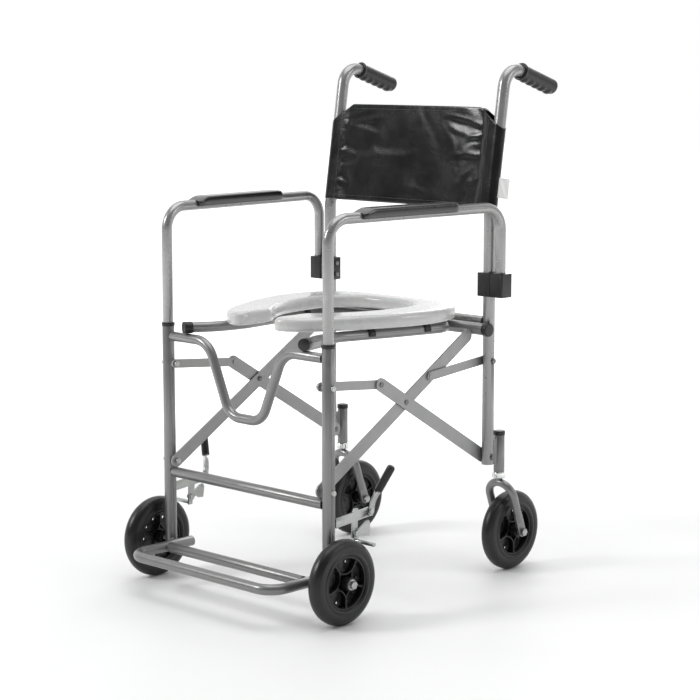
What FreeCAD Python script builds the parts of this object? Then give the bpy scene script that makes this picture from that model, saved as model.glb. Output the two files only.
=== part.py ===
import FreeCAD, Part
import math
import os
import Sketcher

# Folding commode and shower chair on four 150 mm wheels.
# Axes: +X to the sitter's left, +Y to the rear, +Z up, floor at z = 0.
# Design stations are measured from the front uprights (y = 0) and moved by
# datum_y so that the origin is below the middle of the chair's box.

doc = FreeCAD.newDocument("commode_chair")
os.makedirs("parts", exist_ok=True)
V = FreeCAD.Vector

# ------------------------------------------------------------------ dimensions
sheet = doc.addObject("Spreadsheet::Sheet", "Dimensions")
dims = [
    ("datum_y", -239.7120), ("upright_x", 205.6), ("post_x", 204.0), ("post_y", 422.5),
    ("frame_tube_radius", 11.1), ("frame_tube_bore", 9.65), ("small_tube_radius", 9.525),
    ("small_tube_bore", 8.1), ("knee_tube_radius", 8.8), ("knee_tube_bore", 7.4), ("upright_bottom", 58.0),
    ("collar_height", 474.0), ("collar_thickness", 6.0), ("knee_shoulder_height", 455.7),
    ("knee_low_height", 326.0), ("mid_tube_height", 203.1), ("foot_height", 69.0),
    ("foot_leg_x", 183.2), ("foot_front_y", -116.0), ("foot_rear_y", 31.0),
    ("foot_cross_y", -30.0), ("wheel_radius", 75.0), ("wheel_width", 30.0),
    ("hub_radius", 47.5), ("hub_half_length", 22.0), ("front_wheel_x", 241.0),
    ("front_wheel_y", -4.0), ("axle_radius", 4.0), ("hub_bore_radius", 4.05),
    ("stem_x", 204.0), ("stem_y", 456.0), ("caster_trail", 34.0), ("housing_radius", 10.2),
    ("housing_low", 192.0), ("housing_top", 262.0), ("stem_radius", 6.0),
    ("fork_tube_radius", 7.6), ("fork_half_width", 29.0), ("fork_crown_height", 171.0),
    ("pivot_low_z", 225.0), ("pivot_high_z", 405.7), ("scissor_y", 211.25),
    ("scissor_z", 352.95), ("link_y", 146.27), ("link_z", 392.32),
    ("bar_width", 24.0), ("link_width", 16.0), ("bar_thickness", 3.0),
    ("outer_bar_x", 190.9), ("inner_bar_x", 187.4), ("pivot_radius", 3.0),
    ("pivot_bore", 3.05), ("seat_tube_y", 400.0), ("seat_tube_z", 466.5),
    ("seat_tube_radius", 11.0), ("seat_tube_bore", 9.4), ("rear_cross_z", 478.0), ("arm_rear_x", 232.5),
    ("arm_rear_y", 420.0), ("arm_height", 691.0), ("arm_leg_low", 420.0),
    ("arm_rear_low", 531.4), ("seat_low_z", 485.4), ("seat_thickness", 25.0),
    ("brake_x", 213.0),
]
for row, (alias, value) in enumerate(dims, start=1):
    sheet.set("A%d" % row, alias)
    sheet.set("B%d" % row, "%.4f" % value)
    sheet.setAlias("B%d" % row, alias)
doc.recompute()


def g(alias):
    return float(getattr(sheet, alias))


YS = g("datum_y")
UX, PX, PY = g("upright_x"), g("post_x"), g("post_y")
RT, RB = g("frame_tube_radius"), g("frame_tube_bore")
ST, SB = g("small_tube_radius"), g("small_tube_bore")
made = []
SHEET = "Dimensions."


def P3(x, y, z):
    return V(x, y + YS, z)


def basis(origin, xdir, ydir):
    """Placement whose local X and Y axes follow the two given directions."""
    x = V(xdir)
    x.normalize()
    z = x.cross(V(ydir))
    z.normalize()
    y = z.cross(x)
    m = FreeCAD.Matrix(x.x, y.x, z.x, origin.x, x.y, y.y, z.y, origin.y,
                       x.z, y.z, z.z, origin.z, 0, 0, 0, 1)
    return FreeCAD.Placement(m)


def body(name):
    b = doc.addObject("PartDesign::Body", name)
    b.Label = name
    return b


def plane(b, role):
    for f in b.Origin.OriginFeatures:
        if f.Role == role:
            return f
    raise RuntimeError("no plane " + role)


def sketch(b, name, role="XY_Plane", offset=None):
    s = b.newObject("Sketcher::SketchObject", name)
    s.AttachmentSupport = [(plane(b, role), "")]
    s.MapMode = "FlatFace"
    if offset is not None:
        s.AttachmentOffset = offset
    return s


def circle(s, cx, cy, r, alias=None):
    i = s.addGeometry(Part.Circle(V(cx, cy, 0), V(0, 0, 1), r), False)
    c = s.addConstraint(Sketcher.Constraint("Radius", i, r))
    if alias:
        s.renameConstraint(c, "radius_%d" % i)
        s.setExpression("Constraints.radius_%d" % i, SHEET + alias)
    return i


def polygon(s, pts):
    n = len(pts)
    for k in range(n):
        a, b2 = pts[k], pts[(k + 1) % n]
        s.addGeometry(Part.LineSegment(V(a[0], a[1], 0), V(b2[0], b2[1], 0)), False)


def slot_outline(s, p, q, r):
    """Flat bar outline with round ends between the points p and q."""
    d = V(q[0] - p[0], q[1] - p[1], 0)
    d.normalize()
    n = V(-d.y, d.x, 0) * r
    a, b2 = V(p[0], p[1], 0), V(q[0], q[1], 0)
    s.addGeometry(Part.LineSegment(a + n, b2 + n), False)
    s.addGeometry(Part.Arc(b2 + n, b2 + d * r, b2 - n), False)
    s.addGeometry(Part.LineSegment(b2 - n, a - n), False)
    s.addGeometry(Part.Arc(a - n, a - d * r, a + n), False)


def pad(b, s, length, name, alias=None, midplane=False, reverse=False):
    f = b.newObject("PartDesign::Pad", name)
    f.Profile = s
    f.Length = length
    if alias:
        f.setExpression("Length", SHEET + alias)
    if midplane:
        try:
            f.SideType = "Symmetric"
        except Exception:
            f.Midplane = True
    f.Reversed = reverse
    s.Visibility = False
    return f


def pocket(b, s, name, length=None, midplane=True, reverse=False):
    f = b.newObject("PartDesign::Pocket", name)
    f.Profile = s
    if length is None:
        f.Type = 1
    else:
        f.Length = length
    if midplane:
        try:
            f.SideType = "Symmetric"
        except Exception:
            f.Midplane = True
    f.Reversed = reverse
    return f


def done(o):
    made.append(o)
    return o


def straight(name, p, q, r_alias, bore_alias=None, xdir=None, holes=()):
    """Straight tube from p to q; holes are (distance along, radius, offset) bores
    along the tube's local X axis."""
    b = body(name)
    r = g(r_alias)
    s = sketch(b, name + "_ring")
    circle(s, 0, 0, r, r_alias)
    if bore_alias:
        circle(s, 0, 0, g(bore_alias), bore_alias)
    d = q - p
    pad(b, s, d.Length, name + "_pad")
    for k, (at, hr, off) in enumerate(holes):
        h = sketch(b, "%s_hole%d" % (name, k), "YZ_Plane")
        circle(h, off, at, hr)
        pocket(b, h, "%s_drill%d" % (name, k))
    ref = V(xdir) if xdir is not None else V(1, 0, 0)
    if abs(ref.normalize().dot(V(d).normalize())) > 0.99:
        ref = V(0, 1, 0)
    zd = V(d)
    zd.normalize()
    yd = zd.cross(ref)
    yd.normalize()
    xd = yd.cross(zd)
    b.Placement = basis(p, xd, yd)
    return done(b)


def bend_path(pts, radii):
    """Lines and arcs that round every inner corner of a flat polyline."""
    out = []
    cur = V(pts[0][0], pts[0][1], 0)
    for k in range(1, len(pts) - 1):
        a, c, e = [V(t[0], t[1], 0) for t in (pts[k - 1], pts[k], pts[k + 1])]
        u = a - c
        w = e - c
        u.normalize()
        w.normalize()
        ang = math.acos(max(-1, min(1, u.dot(w))))
        r = radii[k - 1] if isinstance(radii, (list, tuple)) else radii
        t = r / math.tan(ang / 2)
        p0, p1 = c + u * t, c + w * t
        m = u + w
        m.normalize()
        centre = c + m * (r / math.sin(ang / 2))
        mid = centre - m * r
        if (p0 - cur).Length > 0.02:
            out.append(("L", cur, p0))
        out.append(("A", p0, mid, p1))
        cur = p1
    end = V(pts[-1][0], pts[-1][1], 0)
    if (end - cur).Length > 0.02:
        out.append(("L", cur, end))
    return out


def bent(name, pts3, radii, r_alias, bore_alias=None, holes=()):
    """Bent tube through points in one plane, swept along lines and arcs."""
    b = body(name)
    o = pts3[0]
    xd = pts3[1] - o
    xd.normalize()
    nrm = None
    for p in pts3[2:]:
        c = xd.cross(p - o)
        if c.Length > 1:
            nrm = c
            break
    nrm.normalize()
    yd = nrm.cross(xd)
    flat = [((p - o).dot(xd), (p - o).dot(yd)) for p in pts3]
    path = sketch(b, name + "_path")
    for item in bend_path(flat, radii):
        if item[0] == "L":
            path.addGeometry(Part.LineSegment(item[1], item[2]), False)
        else:
            path.addGeometry(Part.Arc(item[1], item[2], item[3]), False)
    ring = sketch(b, name + "_ring", "YZ_Plane")
    circle(ring, 0, 0, g(r_alias), r_alias)
    if bore_alias:
        circle(ring, 0, 0, g(bore_alias), bore_alias)
    f = b.newObject("PartDesign::AdditivePipe", name + "_sweep")
    f.Profile = ring
    f.Spine = path
    path.Visibility = False
    ring.Visibility = False
    for k, (at, hr) in enumerate(holes):
        h = sketch(b, "%s_hole%d" % (name, k))
        circle(h, at, 0, hr)
        pocket(b, h, "%s_drill%d" % (name, k))
    b.Placement = basis(o, xd, yd)
    return done(b)


def flat_bar(name, outline, thickness_alias, x_mid, holes, mirror):
    """Flat steel bar in a side plane; outline and holes are (y, z) stations."""
    b = body(name)
    s = sketch(b, name + "_outline")
    outline(s)
    for (hy, hz, hr, alias) in holes:
        circle(s, hy, hz, hr, alias)
    pad(b, s, g(thickness_alias), name + "_pad", thickness_alias, midplane=True)
    x = x_mid * mirror
    # local X follows +Y, local Y follows +Z, local Z follows +X
    b.Placement = basis(P3(x, 0, 0), V(0, 1, 0), V(0, 0, 1))
    return done(b)


def plain(name, shape, at=None):
    """Shape given in the chair's frame, kept relative to its own reference point."""
    ref = at if at is not None else shape.BoundBox.Center
    shift = FreeCAD.Matrix()
    shift.move(ref * -1.0)
    local = shape.transformed(shift, True)
    if local.ShapeType == "Compound" and len(local.Solids) == 1:
        local = local.Solids[0]
    o = doc.addObject("Part::Feature", name)
    o.Label = name
    o.Shape = local
    o.Placement = FreeCAD.Placement(ref, FreeCAD.Rotation())
    return done(o)


def group(name, shapes):
    """Identical fasteners held as separate solids of one node."""
    return plain(name, Part.makeCompound(shapes), P3(0, 0, 0))


def cyl(p, d, r, length):
    return Part.makeCylinder(r, length, p, d)


def bolt(head_at, d, shank, shank_r, head_r, head_h, nut=None):
    """Button head at head_at with the shank running along d."""
    d = V(d)
    d.normalize()
    s = cyl(head_at, d, shank_r, shank)
    h = cyl(head_at - d * head_h, d, head_r, head_h)
    try:
        e = [x for x in h.Edges if x.Closed and abs((x.CenterOfMass - (head_at - d * head_h)).Length) < 0.01]
        h = h.makeFillet(head_h * 0.45, e)
    except Exception:
        pass
    out = s.fuse(h)
    if nut:
        at, nr, nh = nut
        out = out.fuse(cyl(head_at + d * at, d, nr, nh))
    return out.removeSplitter()


def hexbolt(head_at, d, shank, shank_r, across, head_h, washer=0.0):
    """Hex head (touching head_at through a washer) with a shank along d."""
    d = V(d)
    d.normalize()
    ref = V(0, 0, 1) if abs(d.z) < 0.9 else V(1, 0, 0)
    u = ref.cross(d)
    u.normalize()
    w = d.cross(u)
    R = across / math.sqrt(3)
    base = head_at - d * (head_h + washer)
    pts = [base + u * (R * math.cos(math.radians(60 * k))) + w * (R * math.sin(math.radians(60 * k))) for k in range(6)]
    face = Part.Face(Part.makePolygon(pts + [pts[0]]))
    h = face.extrude(d * head_h)
    out = h.fuse(cyl(head_at, d, shank_r, shank))
    if washer:
        out = out.fuse(cyl(head_at - d * washer, d, across * 0.72, washer))
    return out.removeSplitter()


# ---------------------------------------------------------------- front frame
for tag, m in (("l", 1), ("r", -1)):
    z0 = g("upright_bottom")
    straight("front_upright_" + tag, P3(UX * m, 0, z0), P3(UX * m, 0, g("collar_height")),
             "frame_tube_radius", "frame_tube_bore",
             holes=[(g("pivot_low_z") - z0, 3.1, 0), (g("pivot_high_z") - z0, 3.1, 0),
                    (g("wheel_radius") - z0, 4.1, g("front_wheel_y"))])

kz, kl = g("knee_shoulder_height"), g("knee_low_height")
kx = UX - RT - 0.15
bent("front_knee_tube", [P3(-kx, 0, kz), P3(-97, 0, kz), P3(-41, 0, kl), P3(41, 0, kl), P3(97, 0, kz), P3(kx, 0, kz)],
     [46.0, 39.0, 39.0, 46.0], "knee_tube_radius", "knee_tube_bore")
mz = g("mid_tube_height")
straight("lower_cross_tube", P3(-kx, 0, mz), P3(kx, 0, mz), "small_tube_radius", "small_tube_bore")
fx, fy0, fy1, fz = g("foot_leg_x"), g("foot_front_y"), g("foot_rear_y"), g("foot_height")
bent("footrest_hoop", [P3(-fx, fy1, fz), P3(-fx, fy0, fz), P3(fx, fy0, fz), P3(fx, fy1, fz)],
     [34.0, 34.0], "small_tube_radius", "small_tube_bore")
straight("footrest_cross_tube", P3(-fx + ST + 0.15, g("foot_cross_y"), fz), P3(fx - ST - 0.15, g("foot_cross_y"), fz),
         "small_tube_radius", "small_tube_bore")

front_bolts = []
for m in (1, -1):
    for z in (g("pivot_low_z"), g("pivot_high_z")):
        # head on the outer wall, shank through the tube and the bar, dome nut inside
        nut_at = (UX + RT + 0.2) - (g("inner_bar_x") - 1.5 - 0.35)
        front_bolts.append(bolt(P3((UX + RT + 0.2) * m, 0, z), V(-m, 0, 0), nut_at + 1.0, g("pivot_radius"), 5.2, 3.2,
                                nut=(nut_at, 5.0, 4.6)))
    front_bolts.append(hexbolt(P3((g("front_wheel_x") + 22.4) * m, g("front_wheel_y"), g("wheel_radius")), V(-m, 0, 0),
                               g("front_wheel_x") + 22.4 - (UX - RT + 1.0), g("axle_radius"), 13.0, 6.0, washer=1.6))
# ---------------------------------------------------------------------- brakes
bx = g("brake_x")
for tag, m in (("l", 1), ("r", -1)):
    # bar welded behind the upright with the upright plate riveted on it
    b = body("brake_bracket_" + tag)
    s = sketch(b, "bracket_outline_" + tag)
    polygon(s, [(10.3, 161.5), (50.0, 165.0), (50.0, 137.5), (55.0, 136.0), (62.5, 139.0), (64.0, 166.5), (92.0, 169.5),
                (99.0, 172.0), (101.5, 178.0), (98.0, 184.0), (91.0, 186.0), (66.0, 184.0), (64.0, 188.5), (55.0, 188.5),
                (52.0, 182.5), (10.3, 178.5)])
    circle(s, 94.0, 177.8, g("pivot_bore"), "pivot_bore")
    circle(s, 56.5, 144.5, g("pivot_bore"), "pivot_bore")
    pad(b, s, 3.0, "bracket_pad_" + tag, midplane=True)
    b.Placement = basis(P3((UX + RT - 4.5) * m, 0, 0), V(0, 1, 0), V(0, 0, 1))
    done(b)
    # hand lever: pivot eye, then a strip that leans out and back
    lx = (UX + RT - 0.9) * m
    eye_pts = [(87.5, 176.0), (90.5, 170.5), (97.5, 170.5), (101.5, 176.5), (103.0, 188.0), (104.5, 192.0), (92.9, 194.5),
               (91.0, 188.0)]
    eye = Part.Face(Part.makePolygon([P3(lx - 1.45, a[0], a[1]) for a in eye_pts + [eye_pts[0]]])).extrude(V(2.9, 0, 0))
    line = Part.BSplineCurve()
    line.interpolate([P3(lx, 97.0, 186.0), P3(lx + 1.4 * m, 99.3, 197.0), P3(lx + 7.9 * m, 104.3, 214.0),
                      P3(lx + 17.0 * m, 110.2, 234.0), P3(lx + 26.6 * m, 116.4, 255.0)])
    run = line.toShape()
    tangent = line.tangent(line.FirstParameter)[0]
    across = V(1, 0, 0).cross(tangent)
    across.normalize()
    start = line.value(line.FirstParameter)
    c4 = [start + V(1.5, 0, 0) + across * 5.6, start + V(1.5, 0, 0) - across * 5.6,
          start - V(1.5, 0, 0) - across * 5.6, start - V(1.5, 0, 0) + across * 5.6]
    strip = Part.Wire([run]).makePipeShell([Part.makePolygon(c4 + [c4[0]])], True, True)
    handle = strip.fuse(eye).cut(cyl(P3(lx - 10.0, 94.0, 177.8), V(1, 0, 0), g("pivot_bore"), 20.0)).removeSplitter()
    plain("brake_lever_" + tag, handle, P3(lx, 94.0, 177.8))
    # grip sleeve on the lever's end
    p0, p1 = P3(lx + 8.3 * m, 104.6, 215.0), P3(lx + 28.6 * m, 117.7, 259.4)
    d = p1 - p0
    L = d.Length
    d.normalize()
    sleeve = cyl(p0, d, 7.2, L)
    e = [x for x in sleeve.Edges if x.Closed and (x.CenterOfMass - p1).Length < 0.5]
    sleeve = sleeve.makeFillet(5.0, e)
    plain("brake_grip_" + tag, sleeve.cut(handle), p0)
    # pressing plate with the rod that bears on the tyre
    b = body("brake_shoe_" + tag)
    s = sketch(b, "shoe_outline_" + tag)
    polygon(s, [(50.5, 147.5), (52.5, 140.5), (52.0, 128.5), (61.0, 128.5), (62.5, 138.0), (70.0, 143.5), (77.0, 138.5),
                (88.5, 138.0), (91.5, 158.0), (88.0, 164.0), (81.0, 163.0), (60.0, 150.0)])
    circle(s, 56.5, 144.5, g("pivot_bore"), "pivot_bore")
    pad(b, s, 3.0, "shoe_pad_" + tag, midplane=True)
    rod = sketch(b, "rod_outline_" + tag)
    circle(rod, 56.5, 132.6, 3.6)
    pad(b, rod, 44.0, "rod_pad_" + tag, reverse=(m < 0))
    b.Placement = basis(P3((UX + RT - 0.9) * m, 0, 0), V(0, 1, 0), V(0, 0, 1))
    done(b)
for m in (1, -1):
    for (y, z) in ((94.0, 177.8), (56.5, 144.5)):
        front_bolts.append(bolt(P3((UX + RT + 0.9) * m, y, z), V(-m, 0, 0), 7.7, g("pivot_radius"), 5.0, 2.2,
                                nut=(7.05, 4.6, 2.0)))
group("front_fasteners", front_bolts)


# ---------------------------------------------------------------------- wheels
def wheel(tag, x, y, z, m):
    w, R, hr = g("wheel_width"), g("wheel_radius"), g("hub_radius")
    t = body("tyre_" + tag)
    s = sketch(t, "tyre_section_" + tag, "XY_Plane")
    h = w / 2
    pts = [(hr, -h + 3.0), (hr, h - 3.0), (hr + 3.5, h), (R - 9.0, h), (R - 2.6, h - 4.6), (R, 5.0), (R, -5.0),
           (R - 2.6, -h + 4.6), (R - 9.0, -h), (hr + 3.5, -h)]
    polygon(s, pts)
    r = t.newObject("PartDesign::Revolution", "tyre_turn_" + tag)
    r.Profile = s
    r.ReferenceAxis = (s, ["V_Axis"])
    r.Angle = 360
    # local Y is the axle
    t.Placement = basis(P3(x, y, z), V(0, 1, 0), V(m, 0, 0))
    done(t)
    b = body("hub_" + tag)
    s = sketch(b, "hub_section_" + tag, "XY_Plane")
    rb, hl = g("hub_bore_radius"), g("hub_half_length")
    rim = hr - 0.02
    polygon(s, [(rb, -hl), (11.5, -hl), (11.5, -4.0), (rim - 4.0, -4.0), (rim - 4.0, -h + 3.4), (rim, -h + 3.4),
                (rim, h - 3.4), (rim - 4.0, h - 3.4), (rim - 4.0, -1.0), (11.5, -1.0), (11.5, hl), (rb, hl)])
    r = b.newObject("PartDesign::Revolution", "hub_turn_" + tag)
    r.Profile = s
    r.ReferenceAxis = (s, ["V_Axis"])
    r.Angle = 360
    b.Placement = basis(P3(x, y, z), V(0, 1, 0), V(m, 0, 0))
    # five scalloped ribs per wheel, each an arc bulging towards the hub
    ribs = sketch(b, "ribs_" + tag, "XZ_Plane")
    for n in range(5):
        a = math.radians(54 + 72 * n)
        cx, cz = 40.5 * math.cos(a), 40.5 * math.sin(a)
        # arc of radius ri around the rim point, trimmed by the rim circle
        ro, ri = 25.4, 23.2
        def limit(rr):
            # half angle at which the arc meets the rim's inner wall
            lo, hi = 0.0, math.pi
            for _ in range(60):
                md = (lo + hi) / 2
                px = 40.5 - rr * math.cos(md)
                pz = rr * math.sin(md)
                if math.hypot(px, pz) < rim - 3.0:
                    lo = md
                else:
                    hi = md
            return lo
        lo_, li_ = limit(ro), limit(ri)
        def pt(rr, th):
            ang = a + math.pi + th
            return V(cx + rr * math.cos(ang), cz + rr * math.sin(ang), 0)
        A0, A1, A2 = pt(ro, -lo_), pt(ro, 0), pt(ro, lo_)
        B0, B1, B2 = pt(ri, -li_), pt(ri, 0), pt(ri, li_)
        ribs.addGeometry(Part.Arc(A0, A1, A2), False)
        ribs.addGeometry(Part.LineSegment(A2, B2), False)
        ribs.addGeometry(Part.Arc(B2, B1, B0), False)
        ribs.addGeometry(Part.LineSegment(B0, A0), False)
    made.append(b)
    return b, ribs


def rib_pad(b, ribs, tag):
    f = b.newObject("PartDesign::Pad", "rib_pad_" + tag)
    f.Profile = ribs
    f.Length = 20.0
    try:
        f.SideType = "Symmetric"
    except Exception:
        f.Midplane = True
    holes = sketch(b, "vent_holes_" + tag, "XZ_Plane")
    for n in range(5):
        a = math.radians(54 + 72 * n)
        for sg in (-1, 1):
            q = a + sg * 0.30
            circle(holes, 36.0 * math.cos(q), 36.0 * math.sin(q), 2.6)
    pocket(b, holes, "vents_" + tag)


for tag, m in (("front_l", 1), ("front_r", -1)):
    hb, ribs = wheel(tag, g("front_wheel_x") * m, g("front_wheel_y"), g("wheel_radius"), m)
    rib_pad(hb, ribs, tag)

# ------------------------------------------------------------- scissor linkage
ly, lz = g("link_y"), g("link_z")
sy, sz = g("scissor_y"), g("scissor_z")
pl, ph = g("pivot_low_z"), g("pivot_high_z")
ct_y, ct_z = g("seat_tube_y"), g("seat_tube_z")
wb, wl = g("bar_width") / 2, g("link_width") / 2
pb = g("pivot_bore")
mirror_y = PY
for tag, m in (("l", 1), ("r", -1)):
    # lifting bar from the upright's low pivot to the seat cross tube
    L = math.hypot(ct_y, ct_z - pl)
    ux, uz = ct_y / L, (ct_z - pl) / L
    stop = L - g("seat_tube_radius") - 0.1
    flat_bar("lift_bar_" + tag,
             lambda s: slot_outline(s, (0.0, pl), (ux * (stop - wb * 0.0 - 12.0), pl + uz * (stop - 12.0)), wb),
             "bar_thickness", g("inner_bar_x"),
             [(0.0, pl, pb, "pivot_bore"), (sy, sz, pb, "pivot_bore"), (mirror_y - ly, lz, pb, "pivot_bore")], m)
    flat_bar("cross_bar_" + tag,
             lambda s: slot_outline(s, (PY, pl), (ly, lz), wb),
             "bar_thickness", g("outer_bar_x"),
             [(PY, pl, pb, "pivot_bore"), (sy, sz, pb, "pivot_bore"), (ly, lz, pb, "pivot_bore")], m)
    fl = flat_bar("front_link_" + tag,
                  lambda s: slot_outline(s, (0.0, ph), (ly, lz), wl),
                  "bar_thickness", g("inner_bar_x"), [(0.0, ph, pb, "pivot_bore")], m)
    end_f = sketch(fl, "bolt_end_front_" + tag)
    circle(end_f, ly, lz, 4.8)
    pad(fl, end_f, 3.5, "bolt_end_pad_front_" + tag, reverse=(m > 0))
    rl = flat_bar("rear_link_" + tag,
                  lambda s: slot_outline(s, (PY, ph), (mirror_y - ly, lz), wl),
                  "bar_thickness", g("outer_bar_x"), [(PY, ph, pb, "pivot_bore")], m)
    end_r = sketch(rl, "bolt_end_rear_" + tag)
    circle(end_r, mirror_y - ly, lz, 4.8)
    pad(rl, end_r, 2.8, "bolt_end_pad_rear_" + tag, reverse=(m < 0))
scissor = []
crossing = []
for m in (1, -1):
    x_out = g("outer_bar_x") + 1.5 + 0.35
    x_in = g("inner_bar_x") - 1.5 - 0.35
    scissor.append(bolt(P3(x_out * m, sy, sz), V(-m, 0, 0), x_out - x_in + 1.0, g("pivot_radius"), 4.8, 1.2,
                        nut=(x_out - x_in, 4.8, 2.0)))
    # upper pivots: each bar carries its own half of the bolt, meeting between the bars
    scissor.append(bolt(P3(x_in * m, mirror_y - ly, lz), V(m, 0, 0), 3.33, g("pivot_radius"), 4.8, 2.0))
    crossing.append(bolt(P3(x_out * m, ly, lz), V(-m, 0, 0), 3.33, g("pivot_radius"), 4.8, 1.2))
group("scissor_rivets", scissor)
group("cross_bar_rivets", crossing)

# ------------------------------------------------------------------ seat frame
caps = []
for m in (1, -1):
    c = cyl(P3(214.15 * m, ct_y, ct_z), V(m, 0, 0), 12.6, 11.0)
    caps.append(c)
straight_caps = [c.makeFillet(2.0, [e for e in c.Edges if e.Closed and abs(abs(e.CenterOfMass.x) - 225.15) < 0.1]) for c in caps]
rz0, rz1 = 475.6, 470.0
ry0, ry1 = -4.0, 372.0


def rz(y):
    return rz0 + (rz1 - rz0) * (y - ry0) / (ry1 - ry0)


rail = [(-153, ry0), (-128, 52), (-124, 115), (-146, 235), (-164, ry1), (164, ry1), (146, 235), (124, 115), (128, 52), (153, ry0)]
bent("seat_rail_loop", [P3(x, y, rz(y)) for (x, y) in rail], [120.0, 120.0, 300.0, 36.0, 36.0, 300.0, 120.0, 120.0],
     "small_tube_radius", "small_tube_bore")
rail_caps = []
for m in (1, -1):
    d = (P3(128 * m, 52, rz(52)) - P3(153 * m, ry0, rz(ry0)))
    d.normalize()
    p = P3(153 * m, ry0, rz(ry0)) - d * 0.15
    c = cyl(p, -d, 10.8, 4.0)
    c = c.fuse(cyl(p + d * 12.0, -d, 10.8, 12.2).cut(cyl(p + d * 12.5, -d, ST + 0.12, 12.35)))
    rail_caps.append(c.removeSplitter())
group("seat_tube_caps", straight_caps + rail_caps)
cross = cyl(P3(-214.0, ct_y, ct_z), V(1, 0, 0), g("seat_tube_radius"), 428.0)
cross = cross.cut(cyl(P3(-215.0, ct_y, ct_z), V(1, 0, 0), g("seat_tube_bore"), 430.0))
plates = []
for m in (1, -1):
    box = Part.makeBox(4.0, 42.0, 17.0, P3(92.0 * m - 2.0, 365.0, 458.0))
    box = box.cut(cyl(P3(80.0 * m if m > 0 else -110.0, ry1, rz(ry1)), V(1, 0, 0), ST + 0.1, 30.0))
    box = box.cut(cyl(P3(80.0 * m if m > 0 else -110.0, ct_y, ct_z), V(1, 0, 0), g("seat_tube_bore") + 0.5, 30.0))
    mid = [q for q in box.Solids if abs(q.CenterOfMass.y - YS - 386.0) < 14]
    mid.sort(key=lambda q: -q.Volume)
    cross = cross.fuse(mid[0])
plain("seat_cross_tube", cross.removeSplitter())

# toilet seat: open-front ring
half_out = [(41, 36), (51, 24), (73, 28), (100, 47), (124, 82), (147, 128), (169, 180), (185, 232), (191, 282),
            (184, 332), (165, 374), (134, 399), (92, 408.5), (45, 410)]
half_in = [(41, 62), (43, 108), (57, 126), (78, 156), (98, 200), (107, 245), (110, 285), (101, 328), (73, 355), (34, 366)]
loop = [(x, y) for (x, y) in half_out] + [(0.0, 410.4)] + [(-x, y) for (x, y) in reversed(half_out)]
loop += [(-x, y) for (x, y) in half_in] + [(0.0, 368.0)] + [(x, y) for (x, y) in reversed(half_in)]
seat = body("toilet_seat")
ss = sketch(seat, "seat_outline")
curve = Part.BSplineCurve()
curve.interpolate([V(x, y, 0) for (x, y) in loop], PeriodicFlag=True)
ss.addGeometry(curve, False)
pad(seat, ss, g("seat_thickness"), "seat_pad", "seat_thickness")
doc.recompute()
top_edges = []
for i, e in enumerate(seat.Shape.Edges, start=1):
    if abs(e.BoundBox.ZMin - g("seat_thickness")) < 0.01 and abs(e.BoundBox.ZMax - g("seat_thickness")) < 0.01:
        top_edges.append("Edge%d" % i)
fil = seat.newObject("PartDesign::Fillet", "seat_round")
fil.Base = (seat.Tip if seat.Tip != fil else seat.Group[-2], top_edges)
fil.Radius = 9.0
doc.recompute()
print("seat fillet", fil.State, fil.Shape.Volume if not fil.Shape.isNull() else 0)
seat.Placement = FreeCAD.Placement(P3(0, 0, g("seat_low_z")), FreeCAD.Rotation())
done(seat)
clips = []
for m in (1, -1):
    for (y, xr, run) in ((175.0, 135.0, 22.0 / 120.0), (300.0, 154.54, 18.0 / 137.0)):
        z = rz(y)
        along = V(run * m, 1.0, (rz1 - rz0) / (ry1 - ry0))
        along.normalize()
        centre = P3(xr * m, y, z)
        ring_o = cyl(centre - along * 7.0, along, ST + 2.6, 14.0)
        slit = cyl(centre - along * 12.0, along, ST + 0.45, 24.0)
        low = Part.makeBox(60.0, 30.0, 20.0, P3(xr * m - 30.0, y - 15.0, z - 20.0 - 3.0))
        up = Part.makeBox(60.0, 30.0, 40.0, P3(xr * m - 30.0, y - 15.0, g("seat_low_z") - 0.15))
        c = ring_o.cut(slit).cut(low).cut(up)
        clips.append(sorted(c.Solids, key=lambda q: -q.Volume)[0])
group("seat_clips", clips)

# ------------------------------------------------------------------ rear frame
bend_z = 672.0
slope = 0.1545
hy, hz = 463.96, 946.7
grip_dir = V(0, 0.9528, -0.3036)
ue = V(0, slope, 1.0)
ue.normalize()
for tag, m in (("l", 1), ("r", -1)):
    end = P3(PX * m, hy, hz) + grip_dir * 138.0
    bent("rear_post_" + tag, [P3(PX * m, PY, 211.0), P3(PX * m, PY, bend_z), P3(PX * m, PY + slope * (hz - bend_z), hz),
                              end], [60.0, 35.0], "frame_tube_radius", "frame_tube_bore",
         holes=[(pl - 211.0, 3.1), (ph - 211.0, 3.1)])
    # rubber grip: round on top, five finger lobes underneath, closed end
    gs = P3(PX * m, hy, hz) + grip_dir * 43.0
    rr_ = 14.4
    core = cyl(gs, grip_dir, rr_, 102.0)
    e = [q for q in core.Edges if q.Closed and (q.CenterOfMass - (gs + grip_dir * 102.0)).Length < 0.5]
    core = core.makeFillet(6.0, e)
    down = grip_dir.cross(V(1, 0, 0))
    if down.z > 0:
        down = down * -1.0
    for k in range(5):
        lobe = Part.makeSphere(12.4, gs + grip_dir * (15.0 + 17.6 * k) + down * 5.0)
        core = core.fuse(lobe)
    flange = cyl(gs, grip_dir, 16.6, 4.2)
    flange = flange.makeFillet(1.4, [q for q in flange.Edges if q.Closed and abs(q.Length - 2 * math.pi * 16.6) < 0.5])
    core = core.fuse(flange).cut(cyl(gs - grip_dir * 5.0, grip_dir, RT + 0.3, 100.6))
    plain("push_grip_" + tag, core.removeSplitter())

straight("rear_cross_tube", P3(-(PX - RT - 0.15), PY, g("rear_cross_z")), P3(PX - RT - 0.15, PY, g("rear_cross_z")),
         "small_tube_radius", "small_tube_bore")

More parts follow.
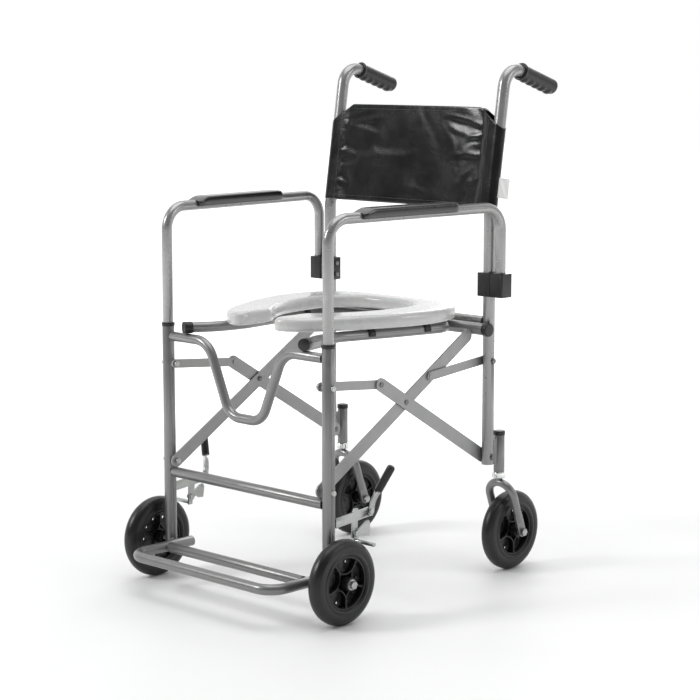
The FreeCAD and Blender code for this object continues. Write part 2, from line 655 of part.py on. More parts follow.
ax_, ay_ = g("arm_rear_x"), g("arm_rear_y")
for tag, m in (("l", 1), ("r", -1)):
    # moulded clamp block: post bore on one side, rear-opening pocket for the arm leg
    b = body("armrest_socket_" + tag)
    s = sketch(b, "block_outline_" + tag)
    x0, x1, y0, y1 = 186.0, 246.6, 407.3, 435.0
    polygon(s, [(x0 * m, y0 + 3), (x0 * m, y1 - 3), ((x0 + 3) * m, y1), (x1 * m, y1), (x1 * m, y0 + 2), ((x1 - 2) * m, y0),
                (219.0 * m, y0), (217.4 * m, y0 + 2.4), (215.8 * m, y0), ((x0 + 3) * m, y0)])
    circle(s, PX * m, PY, RT + 0.1)
    pad(b, s, 43.0, "block_pad_" + tag)
    k = sketch(b, "leg_pocket_" + tag, "XY_Plane", FreeCAD.Placement(V(0, 0, 5.0), FreeCAD.Rotation()))
    r_ = ST + 0.7
    k.addGeometry(Part.Arc(V(ax_ * m - r_, ay_, 0), V(ax_ * m, ay_ - r_, 0), V(ax_ * m + r_, ay_, 0)), False)
    k.addGeometry(Part.LineSegment(V(ax_ * m + r_, ay_, 0), V(ax_ * m + r_, y1 + 5, 0)), False)
    k.addGeometry(Part.LineSegment(V(ax_ * m + r_, y1 + 5, 0), V(ax_ * m - r_, y1 + 5, 0)), False)
    k.addGeometry(Part.LineSegment(V(ax_ * m - r_, y1 + 5, 0), V(ax_ * m - r_, ay_, 0)), False)
    f = b.newObject("PartDesign::Pocket", "leg_cut_" + tag)
    f.Profile = k
    f.Length = 60.0
    f.Reversed = True
    b.Placement = FreeCAD.Placement(P3(0, 0, 526.0), FreeCAD.Rotation())
    done(b)

rear_bolts = []
for m in (1, -1):
    for z in (pl, ph):
        x_out = PX + RT + 0.2
        nut_at = x_out - (g("outer_bar_x") - 1.5 - 0.3)
        rear_bolts.append(bolt(P3(x_out * m, PY, z), V(-m, 0, 0), nut_at + 0.6, g("pivot_radius"), 5.2, 3.2,
                               nut=(nut_at, 4.8, 1.1)))
    for z in (536.5, 558.5):
        rear_bolts.append(cyl(P3(185.85 * m, PY - 2.0, z), V(-m, 0, 0), 4.4, 3.2))

# backrest sleeve: flat stadium with a bore for each post
bk = body("backrest_cover")
s = sketch(bk, "sleeve_outline")
hw, ht = PX, 12.3
s.addGeometry(Part.LineSegment(V(-hw, -ht, 0), V(hw, -ht, 0)), False)
s.addGeometry(Part.Arc(V(hw, -ht, 0), V(hw + ht, 0, 0), V(hw, ht, 0)), False)
s.addGeometry(Part.LineSegment(V(hw, ht, 0), V(-hw, ht, 0)), False)
s.addGeometry(Part.Arc(V(-hw, ht, 0), V(-hw - ht, 0, 0), V(-hw, -ht, 0)), False)
circle(s, -hw, 0, RT + 0.15)
circle(s, hw, 0, RT + 0.15)
s0 = 683.5
base = V(0, PY + YS + slope * (s0 - bend_z), s0)
hgt = (868.0 - s0) / ue.z
pad(bk, s, hgt, "sleeve_pad")
cutk = sketch(bk, "corner_cuts", "XZ_Plane")
for m in (1, -1):
    tri = [((PX - 44.0) * m, hgt + 1), ((PX + 16.0) * m, hgt + 1), ((PX + 16.0) * m, hgt - 40.0)]
    polygon(cutk, tri)
pocket(bk, cutk, "corner_cut")
bk.Placement = basis(base, V(1, 0, 0), V(0, ue.z, -ue.y))
done(bk)

# caster housings, caps and collars
sx, sy_ = g("stem_x"), g("stem_y")
hl_, hu_ = g("housing_low"), g("housing_top")
collars, stem_caps = [], []
for tag, m in (("l", 1), ("r", -1)):
    b = body("caster_housing_" + tag)
    s = sketch(b, "housing_ring_" + tag)
    circle(s, 0, 0, g("housing_radius"), "housing_radius")
    circle(s, 0, 0, g("stem_radius") + 0.06)
    pad(b, s, hu_ - hl_, "housing_pad_" + tag)
    w = sketch(b, "web_outline_" + tag, "YZ_Plane")
    wy0 = -(sy_ - PY) + RT + 0.15
    polygon(w, [(wy0, 20.0), (wy0, 62.0), (-g("housing_radius") + 1.2, 66.0), (-g("housing_radius") + 1.2, 12.0)])
    pad(b, w, 5.0, "web_pad_" + tag, midplane=True)
    b.Placement = FreeCAD.Placement(P3(sx * m, sy_, hl_), FreeCAD.Rotation())
    done(b)
    ring = cyl(P3(sx * m, sy_, hl_ - 11.6), V(0, 0, 1), 12.4, 11.4).cut(cyl(P3(sx * m, sy_, hl_ - 12.6), V(0, 0, 1), 6.3, 14.0))
    e = [q for q in ring.Edges if q.Closed and abs(q.Length - 2 * math.pi * 12.4) < 0.5]
    collars.append(ring.makeFillet(2.0, e))
    cp = cyl(P3(sx * m, sy_, hu_ + 0.15), V(0, 0, 1), 11.0, 8.0)
    e = [q for q in cp.Edges if q.Closed and q.CenterOfMass.z > hu_ + 7]
    stem_caps.append(cp.makeFillet(2.0, e))
group("stem_collars", collars)
group("stem_caps", stem_caps)

# forks and rear wheels
tr = g("caster_trail")
ch = g("fork_crown_height")
zr = g("wheel_radius")
for tag, m in (("l", 1), ("r", -1)):
    axle = P3(sx * m, sy_ + tr, zr)
    crown = P3(sx * m, sy_, ch)
    dn = axle - crown
    reach = dn.Length
    dn.normalize()
    fw = g("fork_half_width")
    X1 = V(1, 0, 0)
    end_s = reach - 22.0
    r = fw - 0.01
    # swept arms: leg, half circle, leg
    a0 = crown - X1 * fw + dn * end_s
    a1 = crown - X1 * fw + dn * r
    a2 = crown + X1 * fw + dn * r
    a3 = crown + X1 * fw + dn * end_s
    top = crown + dn * (r - fw)
    wire = Part.Wire([Part.LineSegment(a0, a1).toShape(), Part.Arc(a1, top, a2).toShape(), Part.LineSegment(a2, a3).toShape()])
    prof = Part.Wire([Part.makeCircle(g("fork_tube_radius"), a0, dn)])
    arms = wire.makePipeShell([prof], True, False)
    fork = arms
    side = dn.cross(X1)
    for sg in (-1, 1):
        c = axle + X1 * (fw * sg - 2.5)
        p_up = c - dn * 36.0
        w_ = side * 9.5
        f_ = Part.Wire([Part.LineSegment(p_up + w_, c + w_).toShape(), Part.Arc(c + w_, c + dn * 9.5, c - w_).toShape(),
                        Part.LineSegment(c - w_, p_up - w_).toShape(), Part.LineSegment(p_up - w_, p_up + w_).toShape()])
        blade = Part.Face(f_).extrude(X1 * 5.0)
        fork = fork.fuse(blade)
    fork = fork.fuse(cyl(V(crown.x, crown.y, ch + 1.0), V(0, 0, 1), g("stem_radius"), hu_ - 4.0 - ch))
    fork = fork.cut(cyl(axle - X1 * 60, X1, g("axle_radius") + 0.05, 120.0)).removeSplitter()
    plain("caster_fork_" + tag, fork)
    x_head = fw + 2.5
    ab = hexbolt(axle + X1 * ((x_head + 0.1) * m), V(-m, 0, 0), 2 * x_head + 6.0, g("axle_radius"), 13.0, 5.5, washer=0.0)
    nut = hexbolt(axle - X1 * ((x_head + 0.1) * m), V(m, 0, 0), 1.0, g("axle_radius"), 13.0, 6.0)
    plain("caster_axle_" + tag, ab.fuse(nut).removeSplitter())
    hb, ribs = wheel("rear_" + tag, sx * m, sy_ + tr, zr, m)
    rib_pad(hb, ribs, "rear_" + tag)
group("rear_fasteners", rear_bolts)

# -------------------------------------------------------------------- armrests
ah = g("arm_height")
arm_collars = []
for tag, m in (("l", 1), ("r", -1)):
    bent("armrest_hoop_" + tag, [P3(UX * m, 0, g("arm_leg_low")), P3(UX * m, 0, ah), P3(ax_ * m, ay_, ah),
                                 P3(ax_ * m, ay_, g("arm_rear_low"))], [42.0, 42.0], "small_tube_radius", "small_tube_bore")
    # collar ring on the upright's mouth
    ring = cyl(P3(UX * m, 0, g("collar_height") + 0.15), V(0, 0, 1), 12.0, g("collar_thickness"))
    ring = ring.cut(cyl(P3(UX * m, 0, g("collar_height") - 1), V(0, 0, 1), ST + 0.08, 12.0))
    arm_collars.append(ring)
    b = body("armrest_pad_" + tag)
    s = sketch(b, "pad_section_" + tag, "XZ_Plane")
    rr = ST + 0.12
    # section across the tube: flat top, rounded shoulders, half groove underneath
    wv, tp, bt = 19.0, 16.0, -2.0
    s.addGeometry(Part.LineSegment(V(-rr, bt, 0), V(-wv + 3, bt, 0)), False)
    s.addGeometry(Part.Arc(V(-wv + 3, bt, 0), V(-wv + 0.88, bt + 0.88, 0), V(-wv, bt + 3, 0)), False)
    s.addGeometry(Part.LineSegment(V(-wv, bt + 3, 0), V(-wv, tp - 7, 0)), False)
    s.addGeometry(Part.Arc(V(-wv, tp - 7, 0), V(-wv + 2.05, tp - 2.05, 0), V(-wv + 7, tp, 0)), False)
    s.addGeometry(Part.LineSegment(V(-wv + 7, tp, 0), V(wv - 7, tp, 0)), False)
    s.addGeometry(Part.Arc(V(wv - 7, tp, 0), V(wv - 2.05, tp - 2.05, 0), V(wv, tp - 7, 0)), False)
    s.addGeometry(Part.LineSegment(V(wv, tp - 7, 0), V(wv, bt + 3, 0)), False)
    s.addGeometry(Part.Arc(V(wv, bt + 3, 0), V(wv - 0.88, bt + 0.88, 0), V(wv - 3, bt, 0)), False)
    s.addGeometry(Part.LineSegment(V(wv - 3, bt, 0), V(rr, bt, 0)), False)
    s.addGeometry(Part.LineSegment(V(rr, bt, 0), V(rr, 0, 0)), False)
    s.addGeometry(Part.Arc(V(rr, 0, 0), V(0, rr, 0), V(-rr, 0, 0)), False)
    s.addGeometry(Part.LineSegment(V(-rr, 0, 0), V(-rr, bt, 0)), False)
    pad(b, s, 226.0, "pad_length_" + tag, reverse=True)
    ends = sketch(b, "pad_ends_" + tag, "YZ_Plane")
    polygon(ends, [(-1.0, 4.0), (-1.0, tp + 1), (15.0, tp + 1)])
    polygon(ends, [(227.0, 7.0), (227.0, tp + 1), (220.0, tp + 1)])
    pocket(b, ends, "pad_bevels_" + tag)
    d = V((ax_ - UX) * m, ay_, 0)
    L = d.Length
    d.normalize()
    at = P3(UX * m, 0, ah) + d * 70.0
    b.Placement = basis(at, d.cross(V(0, 0, 1)), d)
    done(b)

group("armrest_collars", arm_collars)

# ---------------------------------------------------------------------- checks
doc.recompute()
bad = []
for o in doc.Objects:
    if "Invalid" in o.State or "Error" in o.State:
        bad.append((o.Name, o.State))
    if hasattr(o, "Shape") and o in made and (o.Shape.isNull() or not o.Shape.isValid()):
        bad.append((o.Name, "shape"))
print("objects", len(made), "bad", bad)
lo, hi = V(1e9, 1e9, 1e9), V(-1e9, -1e9, -1e9)
for o in made:
    bb = o.Shape.BoundBox
    lo = V(min(lo.x, bb.XMin), min(lo.y, bb.YMin), min(lo.z, bb.ZMin))
    hi = V(max(hi.x, bb.XMax), max(hi.y, bb.YMax), max(hi.z, bb.ZMax))
    o.Shape.exportStep("parts/%s.step" % o.Label)
print("box", [round(t, 3) for t in (lo.x, lo.y, lo.z, hi.x, hi.y, hi.z)])
for o in made:
    print(o.Label, len(o.Shape.Solids), round(o.Shape.Volume, 0))
if bad:
    raise RuntimeError("bad shapes: %r" % bad)
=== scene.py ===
import math
import random

import bmesh
import bpy
import numpy as np
from mathutils import Matrix, Vector


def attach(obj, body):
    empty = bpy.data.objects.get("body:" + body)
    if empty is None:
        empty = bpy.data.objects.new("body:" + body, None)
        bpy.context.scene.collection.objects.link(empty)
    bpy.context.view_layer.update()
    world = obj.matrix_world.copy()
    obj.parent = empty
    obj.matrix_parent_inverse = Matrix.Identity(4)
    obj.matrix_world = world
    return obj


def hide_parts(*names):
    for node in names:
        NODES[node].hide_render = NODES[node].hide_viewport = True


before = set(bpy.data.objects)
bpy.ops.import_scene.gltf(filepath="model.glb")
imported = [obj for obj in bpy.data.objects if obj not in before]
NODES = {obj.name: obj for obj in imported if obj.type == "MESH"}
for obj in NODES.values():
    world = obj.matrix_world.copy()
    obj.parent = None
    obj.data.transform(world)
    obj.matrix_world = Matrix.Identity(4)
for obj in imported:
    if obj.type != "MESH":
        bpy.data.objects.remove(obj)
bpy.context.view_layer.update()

YS = -239.712          # mm, station 0 of the front uprights in the row frame
random.seed(7)


def P(x, y, z):
    """Design station in mm to the row frame in metres."""
    return Vector((x / 1000.0, (y + YS) / 1000.0, z / 1000.0))


# ------------------------------------------------------------------ camera
yaw, pitch, roll = math.radians(43.98), math.radians(8.52), math.radians(-0.06)
fwd = Vector((-math.sin(yaw) * math.cos(pitch), math.cos(yaw) * math.cos(pitch), -math.sin(pitch)))
cam_data = bpy.data.cameras.new("camera")
cam = bpy.data.objects.new("camera", cam_data)
bpy.context.scene.collection.objects.link(cam)
right = fwd.cross(Vector((0, 0, 1))).normalized()
up = right.cross(fwd).normalized()
r2 = right * math.cos(roll) + up * math.sin(roll)
u2 = up * math.cos(roll) - right * math.sin(roll)
cam.matrix_world = Matrix((
    (r2.x, u2.x, -fwd.x, 2.54597), (r2.y, u2.y, -fwd.y, -2.37222 + YS / 1000.0),
    (r2.z, u2.z, -fwd.z, 0.97044), (0, 0, 0, 1)))
cam_data.sensor_width = 36.0
cam_data.lens = 1995.03 / 700.0 * 36.0
cam_data.clip_start, cam_data.clip_end = 0.05, 100.0
bpy.context.scene.camera = cam

# ------------------------------------------------------------------ stage
floor_mesh = bpy.data.meshes.new("floor")
S_ = 14.0
floor_mesh.from_pydata([(-S_, -S_, 0), (S_, -S_, 0), (S_, S_, 0), (-S_, S_, 0)], [], [(0, 1, 2, 3)])
floor = bpy.data.objects.new("floor", floor_mesh)
bpy.context.scene.collection.objects.link(floor)

world = bpy.data.worlds.new("world")
bpy.context.scene.world = world
world.use_nodes = True
wn = world.node_tree.nodes
wl = world.node_tree.links
w_tc = wn.new("ShaderNodeTexCoord")
w_dot = wn.new("ShaderNodeVectorMath")
w_dot.operation = "DOT_PRODUCT"
w_dot.inputs[1].default_value = (-0.69, 0.72, 0.0)
w_map = wn.new("ShaderNodeMapRange")
w_map.interpolation_type = "SMOOTHSTEP"
w_map.inputs["From Min"].default_value = -0.10
w_map.inputs["From Max"].default_value = 0.62
w_map.inputs["To Min"].default_value = 0.0
w_map.inputs["To Max"].default_value = 1.0
w_ramp = wn.new("ShaderNodeValToRGB")
w_ramp.color_ramp.elements[0].color = (0.20, 0.203, 0.206, 1)
w_ramp.color_ramp.elements[1].color = (1.0, 1.0, 1.0, 1)
wl.new(w_tc.outputs["Generated"], w_dot.inputs[0])
wl.new(w_dot.outputs["Value"], w_map.inputs["Value"])
wl.new(w_map.outputs[0], w_ramp.inputs[0])
wl.new(w_ramp.outputs[0], wn["Background"].inputs[0])
wn["Background"].inputs[1].default_value = 1.0
bpy.context.scene.view_settings.view_transform = "Standard"


def area(name, loc, target, size, energy, size_y=None):
    d = bpy.data.lights.new(name, "AREA")
    d.energy = energy
    d.size = size
    if size_y:
        d.shape = "RECTANGLE"
        d.size_y = size_y
    o = bpy.data.objects.new(name, d)
    bpy.context.scene.collection.objects.link(o)
    o.location = loc
    o.rotation_mode = "QUATERNION"
    o.rotation_quaternion = (Vector(target) - Vector(loc)).to_track_quat("-Z", "Y")
    return o


area("key", (-1.9, -3.0, 2.6), (0, 0, 0.5), 1.1, 74)
area("side", (3.2, 1.6, 1.9), (0, 0, 0.6), 1.2, 20)
area("top", (0.2, 0.3, 4.2), (0, 0, 0.3), 3.6, 92)
area("back", (-1.6, 3.2, 1.8), (0, 0, 0.6), 1.6, 16)


# --------------------------------------------------------------- materials
def new_mat(name):
    m = bpy.data.materials.new(name)
    m.use_nodes = True
    nt = m.node_tree
    for n in list(nt.nodes):
        nt.nodes.remove(n)
    out = nt.nodes.new("ShaderNodeOutputMaterial")
    b = nt.nodes.new("ShaderNodeBsdfPrincipled")
    nt.links.new(b.outputs[0], out.inputs[0])
    tc = nt.nodes.new("ShaderNodeTexCoord")
    return m, nt, b, tc


def noise(nt, tc, scale, detail=3.0, rough=0.55, stretch=None):
    n = nt.nodes.new("ShaderNodeTexNoise")
    n.inputs["Scale"].default_value = scale
    n.inputs["Detail"].default_value = detail
    n.inputs["Roughness"].default_value = rough
    if stretch is not None:
        mp = nt.nodes.new("ShaderNodeMapping")
        mp.inputs["Scale"].default_value = stretch
        nt.links.new(tc.outputs["Object"], mp.inputs[0])
        nt.links.new(mp.outputs[0], n.inputs["Vector"])
    else:
        nt.links.new(tc.outputs["Object"], n.inputs["Vector"])
    return n


def ramp(nt, src, stops):
    r = nt.nodes.new("ShaderNodeValToRGB")
    el = r.color_ramp.elements
    while len(el) < len(stops):
        el.new(0.5)
    for e, (p, c) in zip(el, stops):
        e.position = p
        e.color = tuple(c) + (1.0,) if len(c) == 3 else c
    nt.links.new(src, r.inputs[0])
    return r


def maprange(nt, src, a, b, lo=0.3, hi=0.7):
    n = nt.nodes.new("ShaderNodeMapRange")
    n.inputs["From Min"].default_value = lo
    n.inputs["From Max"].default_value = hi
    n.inputs["To Min"].default_value = a
    n.inputs["To Max"].default_value = b
    nt.links.new(src, n.inputs["Value"])
    return n


def bump(nt, bsdf, height, strength, distance, prev=None):
    n = nt.nodes.new("ShaderNodeBump")
    n.inputs["Strength"].default_value = strength
    n.inputs["Distance"].default_value = distance
    nt.links.new(height, n.inputs["Height"])
    if prev is not None:
        nt.links.new(prev.outputs[0], n.inputs["Normal"])
    nt.links.new(n.outputs[0], bsdf.inputs["Normal"])
    return n


def grey(v, t=(1.0, 1.0, 1.0)):
    return (v * t[0], v * t[1], v * t[2])


def paint(name, base, metallic=0.55, rough=0.33):
    """Silver-grey powder paint: fine metallic fleck, orange peel and light handling wear."""
    m, nt, b, tc = new_mat(name)
    large = noise(nt, tc, 9.0, 4.0)
    fleck = noise(nt, tc, 2600.0, 1.0, 0.4)
    mix = nt.nodes.new("ShaderNodeMix")
    mix.data_type = "RGBA"
    r1 = ramp(nt, large.outputs[0], [(0.3, grey(base * 0.94)), (0.7, grey(base * 1.06, (1.0, 1.0, 0.985)))])
    r2_ = ramp(nt, fleck.outputs[0], [(0.42, grey(base * 0.86)), (0.62, grey(min(1.0, base * 1.30)))])
    mix.inputs[0].default_value = 0.22
    nt.links.new(r1.outputs[0], mix.inputs[6])
    nt.links.new(r2_.outputs[0], mix.inputs[7])
    nt.links.new(mix.outputs[2], b.inputs["Base Color"])
    b.inputs["Metallic"].default_value = metallic
    rr = noise(nt, tc, 55.0, 5.0)
    nt.links.new(maprange(nt, rr.outputs[0], rough - 0.05, rough + 0.08).outputs[0], b.inputs["Roughness"])
    peel = noise(nt, tc, 900.0, 2.0)
    bump(nt, b, peel.outputs[0], 0.10, 0.0004)
    b.inputs["Coat Weight"].default_value = 0.25
    b.inputs["Coat Roughness"].default_value = 0.25
    return m


def zinc_mat(name, base=0.72, rough=0.28):
    m, nt, b, tc = new_mat(name)
    n = noise(nt, tc, 70.0, 5.0)
    r1 = ramp(nt, n.outputs[0], [(0.30, (base * 0.88, base * 0.93, base * 0.95)), (0.52, (base, base * 1.02, base)),
                                 (0.72, (base * 1.12, base * 1.12, base * 1.03))])
    nt.links.new(r1.outputs[0], b.inputs["Base Color"])
    b.inputs["Metallic"].default_value = 1.0
    nt.links.new(maprange(nt, n.outputs[0], rough - 0.06, rough + 0.14).outputs[0], b.inputs["Roughness"])
    s = noise(nt, tc, 700.0, 3.0, 0.6, (1.0, 1.0, 0.12))
    bump(nt, b, s.outputs[0], 0.16, 0.0003)
    return m


def plastic_mat(name, base, rough, grain=900.0, depth=0.00025, strength=0.35, coat=0.0, tint=(1, 1, 1), spread=0.18):
    m, nt, b, tc = new_mat(name)
    n = noise(nt, tc, 30.0, 4.0)
    r1 = ramp(nt, n.outputs[0], [(0.3, grey(base * (1 - spread), tint)), (0.7, grey(base * (1 + spread), tint))])
    nt.links.new(r1.outputs[0], b.inputs["Base Color"])
    nt.links.new(maprange(nt, n.outputs[0], rough - 0.05, rough + 0.07).outputs[0], b.inputs["Roughness"])
    v = nt.nodes.new("ShaderNodeTexVoronoi")
    v.inputs["Scale"].default_value = grain
    nt.links.new(tc.outputs["Object"], v.inputs["Vector"])
    bump(nt, b, v.outputs[0], strength, depth)
    if coat:
        b.inputs["Coat Weight"].default_value = coat
        b.inputs["Coat Roughness"].default_value = 0.12
    return m


M = {}
M["frame_paint"] = paint("frame_paint", 0.235, 0.62, 0.33)
M["hoop_paint"] = paint("hoop_paint", 0.315, 0.66, 0.29)
M["bar_paint"] = paint("bar_paint", 0.31, 0.45, 0.40)
M["bolt_dark"] = paint("bolt_dark", 0.16, 0.75, 0.34)
M["zinc"] = zinc_mat("zinc", 0.46, 0.30)
M["chrome_ring"] = zinc_mat("chrome_ring", 0.78, 0.13)
M["black_plastic"] = plastic_mat("black_plastic", 0.0055, 0.36)
M["grip_rubber"] = plastic_mat("grip_rubber", 0.006, 0.38, grain=650.0, depth=0.0004, strength=0.5)
M["hub_plastic"] = plastic_mat("hub_plastic", 0.005, 0.32, grain=1200.0, strength=0.2)
M["pad_plastic"] = plastic_mat("pad_plastic", 0.006, 0.30, grain=420.0, depth=0.0003, strength=0.45, coat=0.7)

# tyre: grey-black rubber with a faint mottled tone and fine grain
m, nt, b, tc = new_mat("tyre_rubber")
n = noise(nt, tc, 26.0, 5.0)
r1 = ramp(nt, n.outputs[0], [(0.3, (0.005, 0.005, 0.0052)), (0.7, (0.010, 0.010, 0.0104))])
nt.links.new(r1.outputs[0], b.inputs["Base Color"])
nt.links.new(maprange(nt, n.outputs[0], 0.30, 0.44).outputs[0], b.inputs["Roughness"])
n2 = noise(nt, tc, 420.0, 3.0)
bump(nt, b, n2.outputs[0], 0.35, 0.0004)
b.inputs["Sheen Weight"].default_value = 0.03
b.inputs["Sheen Roughness"].default_value = 0.5
M["tyre_rubber"] = m

# seat: white gloss moulding, faint flow marks
m, nt, b, tc = new_mat("seat_plastic")
n = noise(nt, tc, 7.0, 3.0)
r1 = ramp(nt, n.outputs[0], [(0.3, (0.53, 0.53, 0.53)), (0.7, (0.575, 0.575, 0.57))])
nt.links.new(r1.outputs[0], b.inputs["Base Color"])
n2 = noise(nt, tc, 38.0, 4.0)
nt.links.new(maprange(nt, n2.outputs[0], 0.20, 0.32).outputs[0], b.inputs["Roughness"])
n3 = noise(nt, tc, 130.0, 2.0)
bump(nt, b, n3.outputs[0], 0.05, 0.0006)
b.inputs["Coat Weight"].default_value = 0.5
b.inputs["Coat Roughness"].default_value = 0.10
b.inputs["Subsurface Weight"].default_value = 0.06
b.inputs["Subsurface Scale"].default_value = 0.004
M["seat_plastic"] = m

# vinyl: embossed black sheet with a waxy sheen
m, nt, b, tc = new_mat("vinyl")
n = noise(nt, tc, 11.0, 4.0)
r1 = ramp(nt, n.outputs[0], [(0.3, (0.0042, 0.0042, 0.0044)), (0.7, (0.0075, 0.0075, 0.0078))])
nt.links.new(r1.outputs[0], b.inputs["Base Color"])
n2 = noise(nt, tc, 24.0, 5.0)
nt.links.new(maprange(nt, n2.outputs[0], 0.17, 0.30).outputs[0], b.inputs["Roughness"])
v = nt.nodes.new("ShaderNodeTexVoronoi")
v.inputs["Scale"].default_value = 700.0
nt.links.new(tc.outputs["Object"], v.inputs["Vector"])
b1 = bump(nt, b, v.outputs[0], 0.22, 0.00025)
n4 = noise(nt, tc, 16.0, 4.0, 0.6, (1.0, 1.0, 2.2))
bump(nt, b, n4.outputs[0], 0.18, 0.003, prev=b1)
b.inputs["Specular IOR Level"].default_value = 0.34
b.inputs["Coat Weight"].default_value = 0.12
b.inputs["Coat Roughness"].default_value = 0.16
M["vinyl"] = m

# sewing thread and the plain cloth label
M["thread"] = plastic_mat("thread", 0.11, 0.6, grain=2500.0)
m, nt, b, tc = new_mat("label_cloth")
w = nt.nodes.new("ShaderNodeTexWave")
w.inputs["Scale"].default_value = 900.0
w.inputs["Distortion"].default_value = 0.6
nt.links.new(tc.outputs["Object"], w.inputs["Vector"])
r1 = ramp(nt, w.outputs[0], [(0.2, (0.70, 0.70, 0.69)), (0.8, (0.80, 0.80, 0.79))])
nt.links.new(r1.outputs[0], b.inputs["Base Color"])
b.inputs["Roughness"].default_value = 0.75
bump(nt, b, w.outputs[0], 0.3, 0.0002)
M["label_cloth"] = m

m, nt, b, tc = new_mat("floor_mat")
n = noise(nt, tc, 1.6, 3.0)
r1 = ramp(nt, n.outputs[0], [(0.3, (0.83, 0.83, 0.83)), (0.7, (0.86, 0.86, 0.86))])
nt.links.new(r1.outputs[0], b.inputs["Base Color"])
b.inputs["Roughness"].default_value = 0.55
b.inputs["Specular IOR Level"].default_value = 0.25
far = nt.nodes.new("ShaderNodeVectorMath")
far.operation = "LENGTH"
nt.links.new(tc.outputs["Object"], far.inputs[0])
fade = nt.nodes.new("ShaderNodeMapRange")
fade.interpolation_type = "SMOOTHSTEP"
fade.inputs["From Min"].default_value = 0.75
fade.inputs["From Max"].default_value = 2.2
nt.links.new(far.outputs["Value"], fade.inputs["Value"])
glow = ramp(nt, fade.outputs[0], [(0.0, (0.0, 0.0, 0.0)), (1.0, (1.0, 1.0, 1.0))])
nt.links.new(glow.outputs[0], b.inputs["Emission Color"])
b.inputs["Emission Strength"].default_value = 0.75
floor.data.materials.append(m)


def slot_of(n):
    if n.startswith(("armrest_hoop", "rear_post", "rear_cross")):
        return "hoop_paint"
    if n.startswith("armrest_pad"):
        return "pad_plastic"
    if n.startswith(("armrest_socket", "armrest_collars", "seat_tube_caps", "stem_caps", "seat_clips")):
        return "black_plastic"
    if n.startswith(("push_grip", "brake_grip")):
        return "grip_rubber"
    if n.startswith("tyre"):
        return "tyre_rubber"
    if n.startswith("hub"):
        return "hub_plastic"
    if n == "toilet_seat":
        return "seat_plastic"
    if n == "backrest_cover":
        return "vinyl"
    if n == "stem_collars":
        return "chrome_ring"
    if n.startswith(("rear_fasteners", "scissor_rivets", "cross_bar_rivets")):
        return "bolt_dark"
    if n.startswith(("front_fasteners", "brake_lever", "brake_shoe", "brake_bracket", "caster_axle")):
        return "zinc"
    if n.startswith(("lift_bar", "cross_bar", "front_link", "rear_link")):
        return "bar_paint"
    return "frame_paint"


def weld_smooth(o, angle=32.0, bevel=0.0004):
    """Weld split vertices, soften the machined edges and shade smoothly."""
    w_ = o.modifiers.new("weld", "WELD")
    w_.merge_threshold = 0.00001
    bv = o.modifiers.new("edge", "BEVEL")
    bv.width = bevel
    bv.segments = 2
    bv.limit_method = "ANGLE"
    bv.angle_limit = math.radians(angle)
    bv.harden_normals = True
    bv.use_clamp_overlap = True
    for p in o.data.polygons:
        p.use_smooth = True


for name, o in NODES.items():
    o.data.materials.clear()
    o.data.materials.append(M[slot_of(name)])
    if name.startswith(("lift_bar", "cross_bar_l", "cross_bar_r", "front_link", "rear_link")):
        # flat strips: crisp faces
        for p in o.data.polygons:
            p.use_smooth = False
        continue
    weld_smooth(o)


def obj_from(name, verts, faces, mat=None, smooth=True):
    me = bpy.data.meshes.new(name)
    me.from_pydata([tuple(v) for v in verts], [], faces)
    me.validate()
    me.update()
    o = bpy.data.objects.new(name, me)
    bpy.context.scene.collection.objects.link(o)
    if mat:
        me.materials.append(M[mat])
    for p in me.polygons:
        p.use_smooth = smooth
    return o


def apply_mods(o):
    dg = bpy.context.evaluated_depsgraph_get()
    e = o.evaluated_get(dg)
    me = bpy.data.meshes.new_from_object(e)
    old = o.data
    mats = [mm for mm in old.materials]
    o.modifiers.clear()
    o.data = me
    if not me.materials:
        for mm in mats:
            me.materials.append(mm)
    return o


def copy_node(node, name):
    o = NODES[node]
    me = o.data.copy()
    c = bpy.data.objects.new(name, me)
    bpy.context.scene.collection.objects.link(c)
    return c


def moulded(node, body, voxel, smooth=4, sub=1):
    """Moulded rubber or plastic: the CAD form with soft flowing edges."""
    c = copy_node(node, node + "_form")
    w_ = c.modifiers.new("weld", "WELD")
    w_.merge_threshold = 0.00001
    r_ = c.modifiers.new("remesh", "REMESH")
    r_.mode = "VOXEL"
    r_.voxel_size = voxel
    r_.use_smooth_shade = True
    s_ = c.modifiers.new("smooth", "SMOOTH")
    s_.factor = 0.6
    s_.iterations = smooth
    apply_mods(c)
    c.data.materials.clear()
    c.data.materials.append(M[slot_of(node)])
    for p in c.data.polygons:
        p.use_smooth = True
    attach(c, body)
    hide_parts(node)
    return c


# ------------------------------------------------------------ moulded grips
for t in ("l", "r"):
    moulded("push_grip_" + t, "rear_frame", 0.0011, 5)


# ------------------------------------------------------------------- tyres
def revolve(name, profile, centre, axis_x, steps, mat):
    """profile: (radius, along) in mm about the X axis through centre."""
    vs, fs = [], []
    n = len(profile)
    for k in range(steps):
        a = 2 * math.pi * k / steps
        ca, sa = math.cos(a), math.sin(a)
        for (r, x) in profile:
            vs.append((centre.x + x / 1000.0 * axis_x, centre.y + r / 1000.0 * ca, centre.z + r / 1000.0 * sa))
    for k in range(steps):
        k2 = (k + 1) % steps
        for i in range(n):
            j = (i + 1) % n
            q = (k * n + i, k2 * n + i, k2 * n + j, k * n + j)
            fs.append(q if axis_x > 0 else tuple(reversed(q)))
    return obj_from(name, vs, fs, mat)


